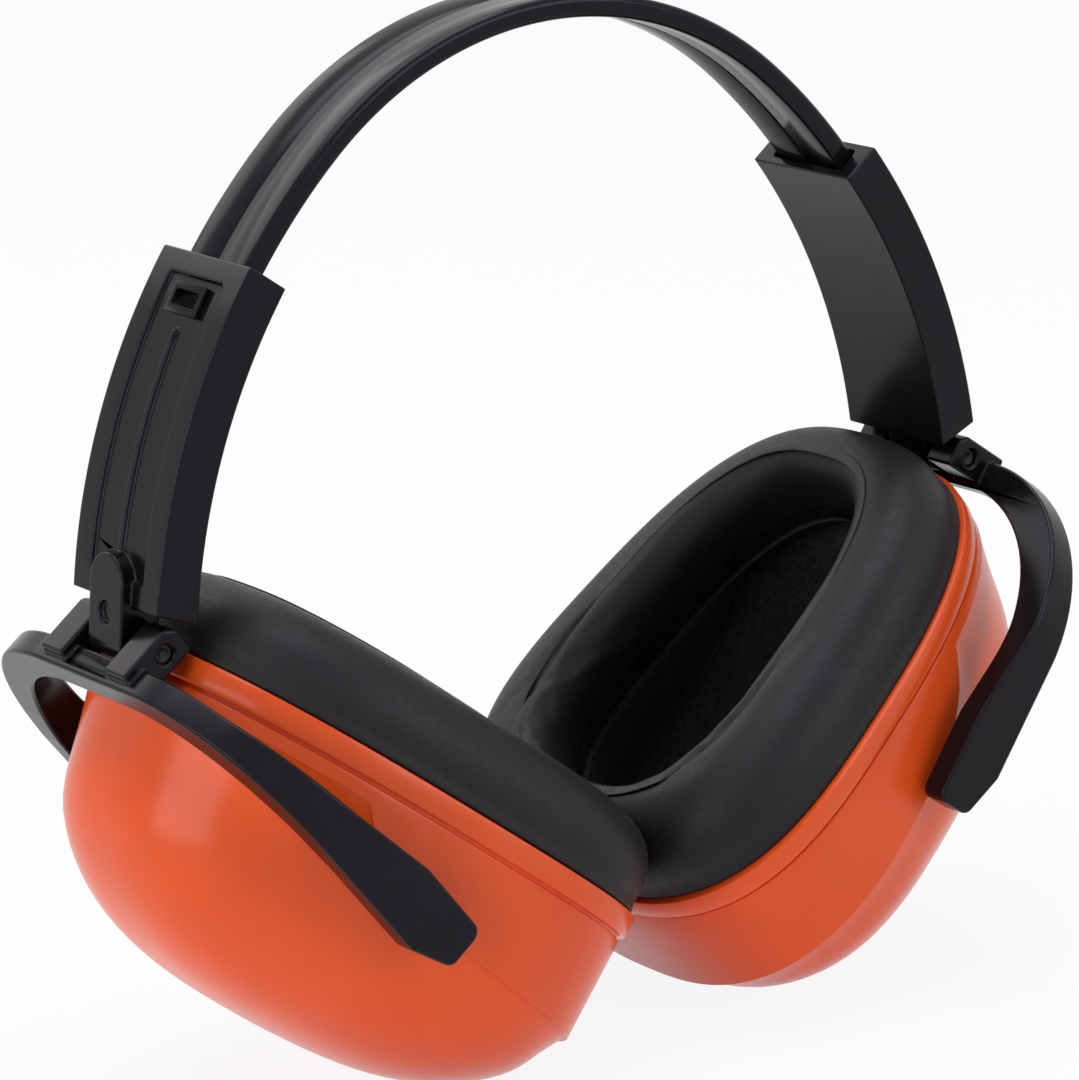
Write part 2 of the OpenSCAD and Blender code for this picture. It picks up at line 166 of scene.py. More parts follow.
def finishPiece(piece, body, material, nodes):
    giveMaterial(piece, material)
    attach(piece, body)
    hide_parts(*nodes)


# shared shader groups: each puts out values and normals only
def newGroup(name, inputs, outputs):
    tree = bpy.data.node_groups.new(name, "ShaderNodeTree")
    for socketName, kind, value in inputs:
        socket = tree.interface.new_socket(name=socketName, in_out="INPUT", socket_type=kind)
        if value is not None:
            socket.default_value = value
    for socketName, kind in outputs:
        tree.interface.new_socket(name=socketName, in_out="OUTPUT", socket_type=kind)
    return tree, tree.nodes.new("NodeGroupInput"), tree.nodes.new("NodeGroupOutput")


def addNode(tree, kind, links=None, **settings):
    node = tree.nodes.new(kind)
    for key, value in settings.items():
        setattr(node, key, value)
    for socket, source in (links or {}).items():
        if isinstance(source, bpy.types.NodeSocket):
            tree.links.new(source, node.inputs[socket])
        else:
            node.inputs[socket].default_value = source
    return node


def mapRange(tree, source, fromLow, fromHigh, toLow, toHigh):
    node = addNode(tree, "ShaderNodeMapRange", {
        "Value": source, "From Min": fromLow, "From Max": fromHigh, "To Min": toLow, "To Max": toHigh})
    return node.outputs["Result"]


def mathNode(tree, operation, first, second):
    return addNode(tree, "ShaderNodeMath", {0: first, 1: second}, operation=operation).outputs[0]


# fine moulded skin: a low wave, a fine grain and a slow change of gloss
def buildMouldedSkin():
    tree, start, end = newGroup("mouldedSkin", [
        ("Place", "NodeSocketVector", None), ("Grain Scale", "NodeSocketFloat", 3000.0),
        ("Wave Scale", "NodeSocketFloat", 90.0), ("Grain Share", "NodeSocketFloat", 0.3)],
        [("Height", "NodeSocketFloat"), ("Gloss Change", "NodeSocketFloat"), ("Tone", "NodeSocketFloat")])
    place = start.outputs["Place"]
    grain = addNode(tree, "ShaderNodeTexNoise",
                    {"Vector": place, "Scale": start.outputs["Grain Scale"], "Detail": 3.0})
    wave = addNode(tree, "ShaderNodeTexNoise",
                   {"Vector": place, "Scale": start.outputs["Wave Scale"], "Detail": 1.0})
    tone = addNode(tree, "ShaderNodeTexNoise", {"Vector": place, "Scale": 38.0, "Detail": 4.0})
    fine = mathNode(tree, "MULTIPLY", grain.outputs["Fac"], start.outputs["Grain Share"])
    height = mathNode(tree, "ADD", fine, wave.outputs["Fac"])
    tree.links.new(height, end.inputs["Height"])
    tree.links.new(mapRange(tree, tone.outputs["Fac"], 0.3, 0.7, -1.0, 1.0), end.inputs["Gloss Change"])
    tree.links.new(mapRange(tree, wave.outputs["Fac"], 0.3, 0.7, 0.0, 1.0), end.inputs["Tone"])
    return tree


# hair scratches: thin broken lines in two directions
def buildScratches():
    tree, start, end = newGroup("hairScratches", [
        ("Place", "NodeSocketVector", None), ("Amount", "NodeSocketFloat", 0.5)],
        [("Mask", "NodeSocketFloat")])
    masks = []
    for turn, stretch in ((0.4, (900.0, 60.0, 60.0)), (1.9, (50.0, 70.0, 800.0))):
        mapping = addNode(tree, "ShaderNodeMapping", {
            "Vector": start.outputs["Place"], "Rotation": (turn, 0.3 * turn, turn), "Scale": stretch})
        lines = addNode(tree, "ShaderNodeTexNoise",
                        {"Vector": mapping.outputs["Vector"], "Scale": 1.0, "Detail": 2.0})
        masks.append(mapRange(tree, lines.outputs["Fac"], 0.66, 0.74, 0.0, 1.0))
    both = mathNode(tree, "MAXIMUM", masks[0], masks[1])
    patches = addNode(tree, "ShaderNodeTexNoise", {"Vector": start.outputs["Place"], "Scale": 45.0})
    patchy = mathNode(tree, "MULTIPLY", both, mapRange(tree, patches.outputs["Fac"], 0.45, 0.65, 0.0, 1.0))
    tree.links.new(mathNode(tree, "MULTIPLY", patchy, start.outputs["Amount"]), end.inputs["Mask"])
    return tree


# worn edges: bright where the surface turns outward, broken up by noise
def buildEdgeWear():
    tree, start, end = newGroup("edgeWear", [
        ("Place", "NodeSocketVector", None), ("Low", "NodeSocketFloat", 0.52),
        ("High", "NodeSocketFloat", 0.62), ("Amount", "NodeSocketFloat", 0.5)],
        [("Mask", "NodeSocketFloat")])
    geometry = tree.nodes.new("ShaderNodeNewGeometry")
    edges = addNode(tree, "ShaderNodeMapRange", {
        "Value": geometry.outputs["Pointiness"], "From Min": start.outputs["Low"],
        "From Max": start.outputs["High"]})
    broken = addNode(tree, "ShaderNodeTexNoise",
                     {"Vector": start.outputs["Place"], "Scale": 260.0, "Detail": 5.0})
    patchy = mathNode(tree, "MULTIPLY", edges.outputs["Result"],
                      mapRange(tree, broken.outputs["Fac"], 0.4, 0.62, 0.15, 1.0))
    tree.links.new(mathNode(tree, "MULTIPLY", patchy, start.outputs["Amount"]), end.inputs["Mask"])
    return tree


mouldedSkin = buildMouldedSkin()
hairScratches = buildScratches()
edgeWear = buildEdgeWear()


# a moulded plastic: base colour with a second tone, worn edges, scratches, grain and gloss
def plasticMaterial(name, look):
    material = bpy.data.materials.new(name)
    material.use_nodes = True
    tree = material.node_tree
    shader = tree.nodes["Principled BSDF"]
    place = addNode(tree, "ShaderNodeTexCoord").outputs["Object"]
    skin = addNode(tree, "ShaderNodeGroup", node_tree=mouldedSkin)
    skin.inputs["Grain Scale"].default_value = look["grainScale"]
    skin.inputs["Wave Scale"].default_value = look["waveScale"]
    skin.inputs["Grain Share"].default_value = look["grainShare"]
    scratch = addNode(tree, "ShaderNodeGroup", node_tree=hairScratches)
    scratch.inputs["Amount"].default_value = look["scratches"]
    wear = addNode(tree, "ShaderNodeGroup", node_tree=edgeWear)
    wear.inputs["Amount"].default_value = look["wear"]
    for group in (skin, scratch, wear):
        tree.links.new(place, group.inputs["Place"])
    tones = addNode(tree, "ShaderNodeMix", {
        "Factor": skin.outputs["Tone"], 6: look["colour"] + (1,), 7: look["secondColour"] + (1,)},
        data_type="RGBA")
    worn = addNode(tree, "ShaderNodeMix", {
        "Factor": wear.outputs["Mask"], 6: tones.outputs[2], 7: look["wornColour"] + (1,)}, data_type="RGBA")
    tree.links.new(worn.outputs[2], shader.inputs["Base Color"])
    gloss = mathNode(tree, "MULTIPLY", skin.outputs["Gloss Change"], look["glossChange"])
    roughness = mathNode(tree, "ADD", gloss, look["roughness"])
    dulled = mathNode(tree, "ADD", roughness, mathNode(tree, "MULTIPLY", scratch.outputs["Mask"], 0.25))
    tree.links.new(dulled, shader.inputs["Roughness"])
    cut = mathNode(tree, "MULTIPLY", scratch.outputs["Mask"], 0.4)
    height = mathNode(tree, "SUBTRACT", skin.outputs["Height"], cut)
    bump = addNode(tree, "ShaderNodeBump", {
        "Height": height, "Strength": look["bump"], "Distance": look["bumpDepth"]})
    tree.links.new(bump.outputs["Normal"], shader.inputs["Normal"])
    shader.inputs["IOR"].default_value = look["ior"]
    shader.inputs["Specular Tint"].default_value = look["shineTint"] + (1,)
    shader.inputs["Coat Weight"].default_value = look["coat"]
    shader.inputs["Coat Roughness"].default_value = look["coatRoughness"]
    return material


blackLook = dict(
    colour=(0.0042, 0.0038, 0.0048), secondColour=(0.006, 0.0054, 0.007), wornColour=(0.03, 0.028, 0.034),
    grainScale=2600.0, waveScale=120.0, grainShare=0.12, scratches=0.25, wear=0.3,
    roughness=0.19, glossChange=0.03, bump=0.2, bumpDepth=0.0002, ior=1.26,
    shineTint=(0.94, 0.84, 1.0), coat=0.0, coatRoughness=0.1)
materials = {
    "band": plasticMaterial("bandPlastic", dict(blackLook, roughness=0.17)),
    "arm": plasticMaterial("armPlastic", dict(blackLook, roughness=0.18, scratches=0.3)),
    "yoke": plasticMaterial("yokePlastic", dict(blackLook, roughness=0.21, waveScale=150.0)),
    "plate": plasticMaterial("platePlastic", dict(blackLook, roughness=0.42, bump=0.5, grainShare=0.4)),
    "cup": plasticMaterial("cupPlastic", dict(
        colour=(0.83, 0.088, 0.01), secondColour=(0.87, 0.098, 0.013), wornColour=(0.9, 0.17, 0.05),
        grainScale=2200.0, waveScale=70.0, grainShare=0.08, scratches=0.03, wear=0.3,
        roughness=0.25, glossChange=0.025, bump=0.1, bumpDepth=0.00025, ior=1.4,
        shineTint=(1.0, 0.95, 0.98), coat=0.0, coatRoughness=0.12)),
}


def steelMaterial():
    material = bpy.data.materials.new("pinSteel")
    material.use_nodes = True
    tree = material.node_tree
    shader = tree.nodes["Principled BSDF"]
    place = addNode(tree, "ShaderNodeTexCoord").outputs["Object"]
    turned = addNode(tree, "ShaderNodeMapping", {"Vector": place, "Scale": (1800.0, 60.0, 1800.0)})
    marks = addNode(tree, "ShaderNodeTexNoise",
                    {"Vector": turned.outputs["Vector"], "Scale": 1.0, "Detail": 4.0})
    ramp = addNode(tree, "ShaderNodeMix", {
        "Factor": marks.outputs["Fac"], 6: (0.012, 0.012, 0.013, 1), 7: (0.035, 0.035, 0.038, 1)},
        data_type="RGBA")
    tree.links.new(ramp.outputs[2], shader.inputs["Base Color"])
    shader.inputs["Metallic"].default_value = 0.85
    tree.links.new(mapRange(tree, marks.outputs["Fac"], 0.2, 0.8, 0.3, 0.5), shader.inputs["Roughness"])
    bump = addNode(tree, "ShaderNodeBump",
                   {"Height": marks.outputs["Fac"], "Strength": 0.3, "Distance": 0.0001})
    tree.links.new(bump.outputs["Normal"], shader.inputs["Normal"])
    return material


# soft vinyl: a satin skin with fine pebbles, faint creases and a lighter bloom at grazing angles
def vinylMaterial():
    material = bpy.data.materials.new("cushionVinyl")
    material.use_nodes = True
    tree = material.node_tree
    shader = tree.nodes["Principled BSDF"]
    place = addNode(tree, "ShaderNodeTexCoord").outputs["Object"]
    pebbles = addNode(tree, "ShaderNodeTexVoronoi", {"Vector": place, "Scale": 2300.0}, feature="SMOOTH_F1")
    grain = addNode(tree, "ShaderNodeTexNoise", {"Vector": place, "Scale": 1100.0, "Detail": 5.0})
    folds = addNode(tree, "ShaderNodeTexNoise",
                    {"Vector": place, "Scale": 70.0, "Detail": 2.0, "Distortion": 0.6})
    tone = addNode(tree, "ShaderNodeMix", {
        "Factor": mapRange(tree, folds.outputs["Fac"], 0.3, 0.7, 0.0, 1.0),
        6: (0.0075, 0.0068, 0.0084, 1), 7: (0.0105, 0.0096, 0.0116, 1)}, data_type="RGBA")
    tree.links.new(tone.outputs[2], shader.inputs["Base Color"])
    tree.links.new(mapRange(tree, grain.outputs["Fac"], 0.3, 0.7, 0.42, 0.54), shader.inputs["Roughness"])
    lowered = mathNode(tree, "MULTIPLY", pebbles.outputs["Distance"], 0.5)
    fine = mathNode(tree, "ADD", lowered, grain.outputs["Fac"])
    height = mathNode(tree, "ADD", mathNode(tree, "MULTIPLY", fine, 0.22), folds.outputs["Fac"])
    bump = addNode(tree, "ShaderNodeBump", {"Height": height, "Strength": 0.35, "Distance": 0.0006})
    tree.links.new(bump.outputs["Normal"], shader.inputs["Normal"])
    shader.inputs["IOR"].default_value = 1.32
    shader.inputs["Specular Tint"].default_value = (0.97, 0.92, 1.0, 1)
    return material


# open foam: dark pores of two sizes in a dull grey-black
def foamMaterial(name, dark, light, poreScale):
    material = bpy.data.materials.new(name)
    material.use_nodes = True
    tree = material.node_tree
    shader = tree.nodes["Principled BSDF"]
    place = addNode(tree, "ShaderNodeTexCoord").outputs["Object"]
    pores = addNode(tree, "ShaderNodeTexVoronoi", {"Vector": place, "Scale": poreScale})
    small = addNode(tree, "ShaderNodeTexVoronoi", {"Vector": place, "Scale": 2.7 * poreScale})
    cloud = addNode(tree, "ShaderNodeTexNoise", {"Vector": place, "Scale": 120.0, "Detail": 3.0})
    fine = mathNode(tree, "MULTIPLY", small.outputs["Distance"], 0.4)
    depth = mathNode(tree, "ADD", pores.outputs["Distance"], fine)
    shade = mathNode(tree, "MULTIPLY", mapRange(tree, depth, 0.1, 0.8, 0.2, 1.0), cloud.outputs["Fac"])
    tone = addNode(tree, "ShaderNodeMix",
                   {"Factor": shade, 6: dark + (1,), 7: light + (1,)}, data_type="RGBA")
    tree.links.new(tone.outputs[2], shader.inputs["Base Color"])
    tree.links.new(mapRange(tree, cloud.outputs["Fac"], 0.3, 0.7, 0.85, 1.0), shader.inputs["Roughness"])
    bump = addNode(tree, "ShaderNodeBump", {"Height": depth, "Strength": 0.8, "Distance": 0.0004})
    tree.links.new(bump.outputs["Normal"], shader.inputs["Normal"])
    shader.inputs["IOR"].default_value = 1.3
    return material


materials["steel"] = steelMaterial()
materials["vinyl"] = vinylMaterial()
materials["liner"] = foamMaterial("linerFoam", (0.014, 0.0135, 0.015), (0.075, 0.071, 0.079), 900.0)
print("materials made")

# headband: a strip section spun over the head and down each side
band = dict(
    width=0.017, thick=0.0037, corner=0.0011, crownRadius=0.0664, crownAngle=41, crownSteps=30,
    sideRadius=0.1066, endAngle=70, sideSteps=22, grooveHalf=0.00045, grooveDepth=0.0004,
    crownHeight=0.105838)


def buildHeadband():
    deselectAll()
    bpy.ops.mesh.primitive_plane_add(
        size=1, location=(0, 0, band["crownHeight"] + band["crownRadius"]), rotation=(0, math.pi / 2, 0))
    piece = bpy.context.object
    piece.name = "headbandStrip"
    piece.scale = (band["thick"], band["width"], 1)
    bpy.ops.object.transform_apply(location=True, rotation=True, scale=True)
    bpy.ops.object.mode_set(mode="EDIT")
    bpy.ops.mesh.select_all(action="SELECT")
    bpy.ops.mesh.bevel(offset=band["corner"], segments=5, affect="VERTICES")
    for across in (-band["grooveHalf"], 0, band["grooveHalf"]):
        bpy.ops.mesh.select_all(action="SELECT")
        bpy.ops.mesh.bisect(plane_co=(0, across, 0), plane_no=(0, 1, 0))
    middle = band["crownHeight"] + band["crownRadius"]
    for outward in (-1, 1):  # press the middle line of each face in
        selectPoints(piece, lambda co: abs(co.y) < mergeDistance and (co.z - middle) * outward > 0)
        bpy.ops.transform.translate(value=(0, 0, -outward * band["grooveDepth"]))
    bpy.ops.mesh.select_mode(type="FACE")
    bpy.ops.mesh.select_all(action="SELECT")
    bpy.ops.mesh.spin(
        steps=band["crownSteps"], angle=-math.radians(band["crownAngle"]),
        center=(0, 0, band["crownHeight"]), axis=(0, 1, 0))
    shift = band["crownRadius"] - band["sideRadius"]
    turn = math.radians(band["crownAngle"])
    sideCentre = (shift * math.sin(turn), 0, band["crownHeight"] + shift * math.cos(turn))
    bpy.ops.mesh.spin(
        steps=band["sideSteps"], angle=-math.radians(band["endAngle"] - band["crownAngle"]),
        center=sideCentre, axis=(0, 1, 0))
    bpy.ops.object.mode_set(mode="OBJECT")
    selectFaces(piece, lambda face: all(
        abs(piece.data.vertices[i].co.x) < mergeDistance for i in face.vertices))
    bpy.ops.mesh.delete(type="FACE")
    bpy.ops.mesh.select_all(action="SELECT")
    bpy.ops.mesh.remove_doubles(threshold=mergeDistance)
    bpy.ops.object.mode_set(mode="OBJECT")
    mirror = piece.modifiers.new("otherSide", "MIRROR")
    mirror.merge_threshold = 1e-5
    applyAll(piece)
    bpy.ops.object.mode_set(mode="EDIT")
    bpy.ops.mesh.select_all(action="SELECT")
    bpy.ops.mesh.normals_make_consistent(inside=False)
    bpy.ops.object.mode_set(mode="OBJECT")
    smoothByAngle(piece, 50)
    return piece


headbandStrip = buildHeadband()
finishPiece(headbandStrip, "headband", materials["band"], ["headband"])
print("headband made")

# arms: sleeve, catch and hinge pin
arm = dict(sleeveEdge=0.0004, latchEdge=0.00015, yokeEdge=0.0006, pinRadius=0.0015, pinHalf=0.0117)


def buildPin(side):
    hinge = jointPlace(side + "_fold_hinge")
    deselectAll()
    bpy.ops.mesh.primitive_cylinder_add(
        vertices=48, radius=arm["pinRadius"], depth=2 * arm["pinHalf"], location=hinge,
        rotation=(math.pi / 2, 0, 0))
    piece = bpy.context.object
    piece.name = side + "HingePin"
    bpy.ops.object.transform_apply(location=True, rotation=True, scale=True)
    selectFaces(piece, lambda face: len(face.vertices) > 4)
    bpy.ops.mesh.inset(thickness=0.0005, depth=0.0)
    bpy.ops.mesh.inset(thickness=0.0004, depth=-0.0003)
    bpy.ops.object.mode_set(mode="OBJECT")
    roundEdges(piece, 0.00012, 2)
    smoothByAngle(piece, 40)
    return piece


for side in sideSigns:
    sleeve = copyNode(side + "_sleeve", side + "ArmSleeve")
    roundEdges(sleeve, arm["sleeveEdge"], 3)
    dropSlivers(sleeve)
    smoothByAngle(sleeve, 35)
    evenNormals(sleeve)
    finishPiece(sleeve, side + "_arm", materials["arm"], [side + "_sleeve"])
    catch = copyNode(side + "_latch", side + "HeightCatch")
    roundEdges(catch, arm["latchEdge"], 2)
    smoothByAngle(catch, 35)
    finishPiece(catch, side + "_arm", materials["arm"], [side + "_latch"])
    pin = buildPin(side)
    finishPiece(pin, side + "_fork", materials["steel"], [side + "_hinge_pin"])
    yoke = copyNode(side + "_yoke", side + "CupYoke")
    roundEdges(yoke, arm["yokeEdge"], 3)
    smoothByAngle(yoke, 35)
    evenNormals(yoke)
    finishPiece(yoke, side + "_fork", materials["yoke"], [side + "_yoke"])
print("arms and yokes made")

# ear cushions: a soft ring on the plate, blown up by cloth pressure
cushion = dict(
    thick=0.0135, plate=0.002, earLength=0.066, earWidth=0.039, start=0.0004, mostMove=0.0011,
    pressure=4.0, frames=20, rows=48, meetX=0.0002, halfGap=0.00035, lipInset=0.0007, lipInner=0.00112,
    lipDepth=0.00015,
    outside=[[0, 0.75], [0.25, 0.7], [0.5, 1.4], [0.72, 3.1], [0.88, 5.7], [0.97, 8.8], [1, 12]],
    inside=[[1, 5.2], [0.93, 2.7], [0.75, 0.9], [0.45, 0.1], [0, 0.5]])


# cups: shell, seal plate and foam liner, drawn with the rim flat and then leaned into place
cup = dict(
    length=0.0964, width=0.0744, depth=0.0447, wall=0.0024, taper=0.17, ovalPower=2.8, domePower=2.6,
    domeRound=2.75, domeTaper=0.2, domeStart=0.004, domeShift=0.0034, spareLength=0.0012, spareWidth=0.0019,
    leastCrease=0.007, rimBand=0.004, rimStep=0.0005, groove=0.0008, pivotDepth=0.0191, pivotRise=0.0059,
    columns=180, domeRows=26, creaseRows=9, creaseStep=0.0006, stepRun=0.006,
    creaseReach=0.00002, rimEdge=0.0005, lean=dict(left=51.206, right=51.948))


def signedPower(value, power):
    return math.copysign(abs(value) ** (2 / power), value)


def ovalPoint(column, halfLength, halfWidth):
    angle = 2 * math.pi * column / cup["columns"]
    up = halfLength * signedPower(math.cos(angle), cup["ovalPower"])
    narrowing = 1 - cup["taper"] * up / (cup["length"] / 2)
    across = halfWidth * narrowing * signedPower(math.sin(angle), cup["ovalPower"])
    return up, across


def rimPoint(column, inset):
    return ovalPoint(column, cup["length"] / 2 - inset, cup["width"] / 2 - inset)


def rimRing(depth, inset):
    points = [rimPoint(column, inset) for column in range(cup["columns"])]
    return [Vector((depth, across, up)) for up, across in points]


def domeShare(up, across, inset):
    halfLength = cup["length"] / 2 + cup["spareLength"] - inset
    narrowing = 1 - cup["domeTaper"] * up / (cup["length"] / 2)
    halfWidth = (cup["width"] / 2 + cup["spareWidth"] - inset) * narrowing
    power = cup["domePower"]
    lengthwise = abs((up + cup["domeShift"]) / halfLength) ** power
    return (lengthwise + abs(across / halfWidth) ** power) ** (1 / power)


def domeDepth(share, inset):
    rise = cup["domeStart"] + cup["depth"] - inset
    return rise * (1 - min(1, max(0, share)) ** cup["domeRound"]) ** (1 / cup["domeRound"]) - cup["domeStart"]


def domeRing(shrink, inset):
    rise = cup["domeStart"] + cup["depth"] - inset
    least = (cup["domeStart"] + cup["leastCrease"]) / rise
    widest = (1 - least ** cup["domeRound"]) ** (1 / cup["domeRound"])
    ring = []
    for column in range(cup["columns"]):
        up, across = rimPoint(column, inset)
        share = min(domeShare(up, across, inset), widest)
        shrunkUp = (up + cup["domeShift"]) * shrink - cup["domeShift"]
        ring.append(Vector((domeDepth(share * shrink, inset), across * shrink, shrunkUp)))
    return ring


def between(first, second, share):
    return [start.lerp(end, share) for start, end in zip(first, second)]


def domeRings(inset, rows):
    return [domeRing(math.cos(math.pi / 2 * row / rows), inset) for row in range(rows + 1)]


# a small step inward below the crease, which fades out where the wall is low
def stepIn(ring):
    stepped = []
    for point in ring:
        strength = min(1, max(0.05, (point.x - cup["leastCrease"]) / cup["stepRun"]))
        inward = Vector((0, point.y, point.z)).normalized()
        stepped.append(point - cup["creaseStep"] * strength * inward)
    return stepped


def cupPlace(side):
    sign = sideSigns[side]
    pivot = jointPlace(side + "_cup_tilt")
    upright = Matrix.Translation((abs(pivot.x), 0, pivot.z))
    lean = Matrix.Rotation(math.radians(cup["lean"][side]), 4, "Y")
    back = Matrix.Translation((-cup["pivotDepth"], 0, -cup["pivotRise"]))
    return Matrix.Scale(sign, 4, (1, 0, 0)) @ upright @ lean @ back


def leanIntoPlace(piece, side):
    piece.data.transform(cupPlace(side))
    activate(piece)
    bpy.ops.object.mode_set(mode="EDIT")
    bpy.ops.mesh.select_all(action="SELECT")
    bpy.ops.mesh.normals_make_consistent(inside=False)
    bpy.ops.object.mode_set(mode="OBJECT")


# keeps the edges along the crease sharp, though it is shallow
def keepCrease(piece, side, crease):
    creaseTree = KDTree(len(crease))
    for i, point in enumerate(crease):
        creaseTree.insert(cupPlace(side) @ point, i)
    creaseTree.balance()
    onCrease = [creaseTree.find(point.co)[2] < cup["creaseReach"] for point in piece.data.vertices]
    marks = piece.data.attributes
    sharp = marks.get("sharp_edge") or marks.new("sharp_edge", "BOOLEAN", "EDGE")
    marked = 0
    for edge in piece.data.edges:
        if onCrease[edge.vertices[0]] and onCrease[edge.vertices[1]]:
            sharp.data[edge.index].value = True
            marked += 1
    print(side, "crease edges kept sharp:", marked)


def buildShell(side):
    body = cup["rimStep"]
    inner = cup["wall"] + body
    bandEnd = cup["rimBand"]
    grooveEnd = bandEnd + cup["groove"]
    edge = cup["rimEdge"]
    outside = domeRings(body, cup["domeRows"])
    crease = outside[0]
    foot = rimRing(grooveEnd + 0.0004, body)
    rings = list(reversed(domeRings(inner, cup["domeRows"])))
    rings += [rimRing(edge, inner), rimRing(0.3 * edge, inner - 0.3 * edge), rimRing(0, inner - edge)]
    rings += [rimRing(0, edge), rimRing(0.3 * edge, 0.3 * edge), rimRing(edge, 0)]
    rings += [rimRing(bandEnd - 0.6 * edge, 0), rimRing(bandEnd - 0.2 * edge, 0.2 * edge)]
    rings += [rimRing(bandEnd, 0.6 * edge)]
    rings += [rimRing(bandEnd + 0.00008, 2 * body), rimRing(grooveEnd - 0.0002, 2 * body)]
    rings += [rimRing(grooveEnd, body + 0.0001), foot]
    rings += [between(foot, crease, 0.3), between(foot, crease, 0.6), between(foot, crease, 0.9)]
    flat = cup["creaseRows"]
    shoulder = stepIn(crease)
    rings += [crease, shoulder]
    for row in range(1, flat):  # the dome leaves the crease more steeply and eases back to its own curve
        chord = between(shoulder, outside[flat], row / flat)
        rings.append(between(outside[row], chord, 1 - (row / flat) ** 2))
    rings += outside[flat:]
    piece = gridThroughRings(side + "CupShell", cup["columns"], rings)
    leanIntoPlace(piece, side)
    smoothByAngle(piece, 42)
    keepCrease(piece, side, crease)
    return piece


# the liner: a foam bowl that rises to the plate's opening, with a welt where its wall meets the bowl
liner = dict(gap=0.0003, thick=0.0068, ledge=0.0062, neckInset=0.0053, mouthGrow=0.0013, mouthDepth=0.0004,
             lip=0.0009, weltRise=0.0007, wallRows=8)


def earRing(depth, grow):
    points = [ovalPoint(column, cushion["earLength"] / 2 + grow, cushion["earWidth"] / 2 + grow)
              for column in range(cup["columns"])]
    return [Vector((depth, across, up)) for up, across in points]


def buildLiner(side):
    outer = cup["wall"] + cup["rimStep"] + liner["gap"]
    inside = outer + liner["thick"]
    ledge, neck, lip, top = liner["ledge"], liner["neckInset"], liner["lip"], liner["mouthDepth"]
    bowl = domeRings(inside, 40)
    mouth = earRing(top + lip, liner["mouthGrow"])
    rings = domeRings(outer, 20)[::-1] + [rimRing(ledge + 0.0006, outer), rimRing(ledge, outer + 0.0006)]
    rings += [rimRing(ledge, neck - 0.0004), rimRing(ledge - 0.0004, neck), rimRing(top + lip, neck)]
    rings += [rimRing(top + 0.3 * lip, neck + 0.3 * lip), rimRing(top, neck + lip)]
    rings += [earRing(top, liner["mouthGrow"] + lip)]
    rings += [earRing(top + 0.3 * lip, liner["mouthGrow"] + 0.3 * lip), mouth]
    rings += [between(mouth, bowl[0], row / liner["wallRows"]) for row in range(1, liner["wallRows"])]
    rings += [between(mouth, bowl[0], 0.95)]
    rings += [[point * (1 - liner["weltRise"] / point.length) for point in bowl[0]]]
    rings += [between(bowl[0], bowl[1], 0.6)] + bowl[1:]
    piece = gridThroughRings(side + "FoamLiner", cup["columns"], rings)
    leanIntoPlace(piece, side)
    smoothByAngle(piece, 60)
    return piece


for side in sideSigns:
    shell = buildShell(side)
    finishPiece(shell, side + "_cup", materials["cup"], [side + "_cup_shell"])
    bowl = buildLiner(side)
    finishPiece(bowl, side + "_cup", materials["liner"], [side + "_foam_liner"])
    giveMaterial(frame["nodes"][side + "_seal_plate"], materials["plate"])
print("cups made")


# the cushion's line from its outer foot, over its crown, to its foot in the ear opening
def cushionSection(column):
    points = []
    for share, inset in cushion["outside"]:
        up, across = rimPoint(column, 0.001 * inset + cushion["start"])
        points.append(Vector((-cushion["plate"] - share * (cushion["thick"] - cushion["start"]), across, up)))
    for share, extra in cushion["inside"]:
        grow = 0.001 * extra + cushion["start"]
        up, across = ovalPoint(column, cushion["earLength"] / 2 + grow, cushion["earWidth"] / 2 + grow)
        points.append(Vector((-cushion["plate"] - share * (cushion["thick"] - cushion["start"]), across, up)))
    return points


# evenly spaced points on a smooth line through the given ones
def smoothLine(points, count):
    ends = [2 * points[0] - points[1]] + points + [2 * points[-1] - points[-2]]
    dense = []
    for i in range(1, len(ends) - 2):
        before, here, there, after = ends[i - 1:i + 3]
        for step in range(12):
            t = step / 12
            dense.append(0.5 * (2 * here + (there - before) * t
                                + (2 * before - 5 * here + 4 * there - after) * t * t
                                + (3 * here - 3 * there + after - before) * t ** 3))
    dense.append(points[-1])
    lengths = [0]
    for start, end in zip(dense, dense[1:]):
        lengths.append(lengths[-1] + (end - start).length)
    line, i = [], 0
    for step in range(count):
        want = lengths[-1] * step / (count - 1)
        while i < len(dense) - 2 and lengths[i + 1] < want:
            i += 1
        span = lengths[i + 1] - lengths[i]
        line.append(dense[i].lerp(dense[i + 1], (want - lengths[i]) / span if span else 0))
    return line


def inflate(piece, footDepth):
    rest = [point.co.copy() for point in piece.data.vertices]
    foot = piece.vertex_groups.new(name="foot")
    foot.add([i for i, co in enumerate(rest) if co.x > footDepth], 1, "REPLACE")
    cloth = piece.modifiers.new("pressure", "CLOTH")
    cloth.settings.use_pressure = True
    cloth.settings.uniform_pressure_force = cushion["pressure"]
    cloth.settings.vertex_group_mass = "foot"
    cloth.settings.effector_weights.gravity = 0
    cloth.settings.tension_stiffness = 12
    cloth.settings.compression_stiffness = 12
    cloth.settings.bending_stiffness = 1.5
    cloth.point_cache.frame_start = 1
    cloth.point_cache.frame_end = cushion["frames"]
    for number in range(1, cushion["frames"] + 1):
        bpy.context.scene.frame_set(number)
    applyAll(piece)
    bpy.context.scene.frame_set(1)
    moves = []
    for point, start in zip(piece.data.vertices, rest):
        move = point.co - start
        moves.append(move.length)
        if move.length > cushion["mostMove"]:
            point.co = start + move * (cushion["mostMove"] / move.length)
    print("cushion moved at most", round(1000 * max(moves), 2), "mm")


